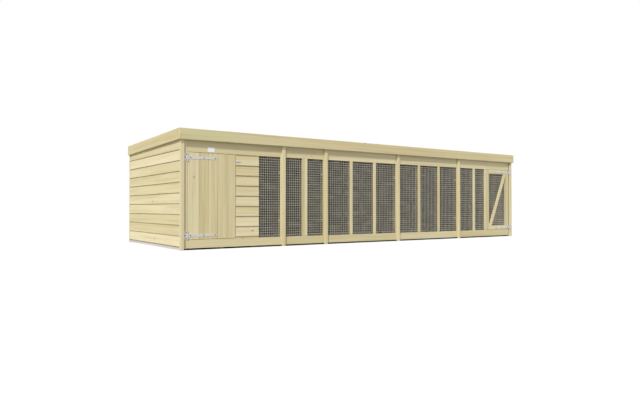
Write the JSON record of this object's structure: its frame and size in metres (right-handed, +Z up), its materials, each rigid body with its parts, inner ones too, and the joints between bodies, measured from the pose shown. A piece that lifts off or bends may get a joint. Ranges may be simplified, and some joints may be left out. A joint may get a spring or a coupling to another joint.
{
  "type": "dog kennel and run",
  "caption": "Low timber dog kennel with a clad sleeping compartment and a long wire-mesh run under one pent roof, with a hinged kennel door and a hinged run door.",
  "frame": {"origin": "on the ground, under the middle of the whole outline", "axes": "+X along the front from the kennel end to the run door end, +Y from the front to the back, +Z up"},
  "size_m": [5.53, 1.885, 1.288],
  "materials": {
    "treated_softwood": "planed, pressure treated",
    "strand_board": "raw",
    "mineral_felt": "gritted bitumen",
    "galvanised_mesh": "zinc",
    "galvanised_steel": "zinc",
    "black_screws": "black coated",
    "white_plastic": "plain"
  },
  "bodies": {
    "root": {"ground_bearers": "treated_softwood", "sleeping_floor": "treated_softwood", "left_wall_frame": "treated_softwood", "left_wall_cladding": "treated_softwood", "right_wall_frame": "treated_softwood", "right_wall_cladding": "treated_softwood", "back_frame_1": "treated_softwood", "back_frame_2": "treated_softwood", "back_frame_3": "treated_softwood", "back_frame_4": "treated_softwood", "back_frame_5": "treated_softwood", "back_cladding": "treated_softwood", "partition_frame": "treated_softwood", "partition_boards": "treated_softwood", "front_frame_1": "treated_softwood", "front_frame_2": "treated_softwood", "front_frame_3": "treated_softwood", "front_frame_4": "treated_softwood", "front_frame_5": "treated_softwood", "front_battens_1": "treated_softwood", "front_battens_2": "treated_softwood", "front_battens_3": "treated_softwood", "front_battens_4": "treated_softwood", "front_battens_5": "treated_softwood", "front_cladding": "treated_softwood", "front_cover_strips": "treated_softwood", "back_cover_strips": "treated_softwood", "rafters": "treated_softwood", "fascia_front": "treated_softwood", "fascia_back": "treated_softwood", "fascia_left": "treated_softwood", "fascia_right": "treated_softwood", "door_stops": "treated_softwood", "roof_boards": "strand_board", "roof_felt": "mineral_felt", "mesh_sheet_1": "galvanised_mesh", "mesh_sheet_2": "galvanised_mesh", "mesh_sheet_3": "galvanised_mesh", "mesh_sheet_4": "galvanised_mesh", "mesh_sheet_5": "galvanised_mesh", "blank_plate": "white_plastic", "kennel_hinge_plates": "galvanised_steel", "run_hinge_plates": "galvanised_steel", "hinge_pins": "galvanised_steel", "plate_screws": "black_screws", "button_screws": "galvanised_steel", "panel_bolts": "galvanised_steel"},
    "kennel_door": {"kennel_door_boards": "treated_softwood", "kennel_door_ledges": "treated_softwood", "kennel_door_straps": "galvanised_steel", "kennel_door_screws": "black_screws"},
    "run_door": {"run_door_battens": "treated_softwood", "run_door_frame": "treated_softwood", "run_door_mesh": "galvanised_mesh", "run_door_straps": "galvanised_steel", "run_door_screws": "black_screws"},
    "kennel_button": {"kennel_button": "galvanised_steel"},
    "run_button_upper": {"run_button_upper": "galvanised_steel"},
    "run_button_lower": {"run_button_lower": "galvanised_steel"}
  },
  "joints": [
    {"name": "kennel_door_hinge", "type": "hinge", "parent": "root", "child": "kennel_door", "pos_m": [-2.6555, -0.9028, 0.5685], "axis": [0, 0, -1], "range_deg": [0, 150]},
    {"name": "run_door_hinge", "type": "hinge", "parent": "root", "child": "run_door", "pos_m": [2.698, -0.9228, 0.575], "axis": [0, 0, 1], "range_deg": [0, 165]},
    {"name": "kennel_button_turn", "type": "hinge", "parent": "root", "child": "kennel_button", "pos_m": [-2.083, -0.9, 0.968], "axis": [0, -1, 0], "range_deg": [0, 180]},
    {"name": "run_button_upper_turn", "type": "hinge", "parent": "root", "child": "run_button_upper", "pos_m": [2.1315, -0.9, 1.01], "axis": [0, -1, 0], "range_deg": [0, 90]},
    {"name": "run_button_lower_turn", "type": "hinge", "parent": "root", "child": "run_button_lower", "pos_m": [2.1315, -0.9, 0.16], "axis": [0, -1, 0], "range_deg": [0, 65]}
  ]
}
